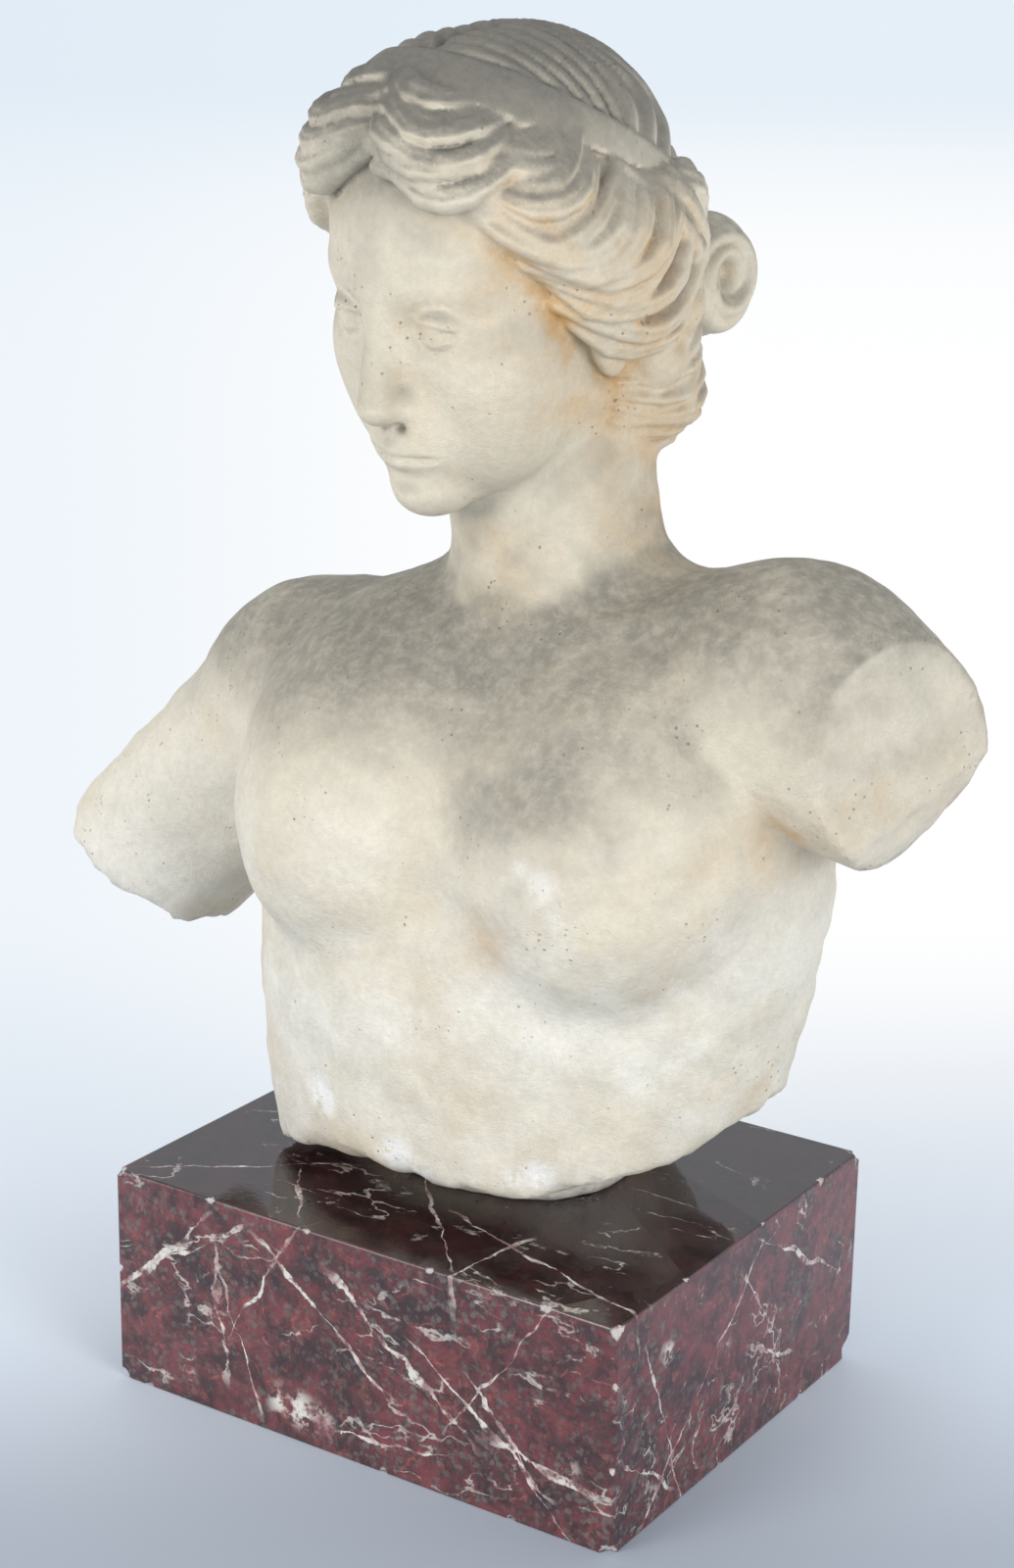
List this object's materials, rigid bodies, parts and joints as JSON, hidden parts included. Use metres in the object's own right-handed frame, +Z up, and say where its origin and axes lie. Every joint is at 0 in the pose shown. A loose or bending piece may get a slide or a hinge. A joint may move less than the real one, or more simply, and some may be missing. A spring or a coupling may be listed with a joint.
{
  "type": "stone female bust",
  "caption": "Weathered marble bust of a woman with a headband and knotted hair, one arm lowered and one cut off at the shoulder, on a red marble block.",
  "frame": {"origin": "centre of the block's underside, on the surface it stands on", "axes": "+Z up, -Y the way the bust's chest faces, +X towards the figure's left"},
  "size_m": [0.5525, 0.2879, 0.7319],
  "materials": {
    "bust_marble": "weathered cream white marble, matt, with grey dirt and ochre stains",
    "plinth_marble": "polished dark red brecciated marble with white veins"
  },
  "bodies": {
    "root": {"bust": "bust_marble", "plinth": "plinth_marble"}
  },
  "joints": []
}
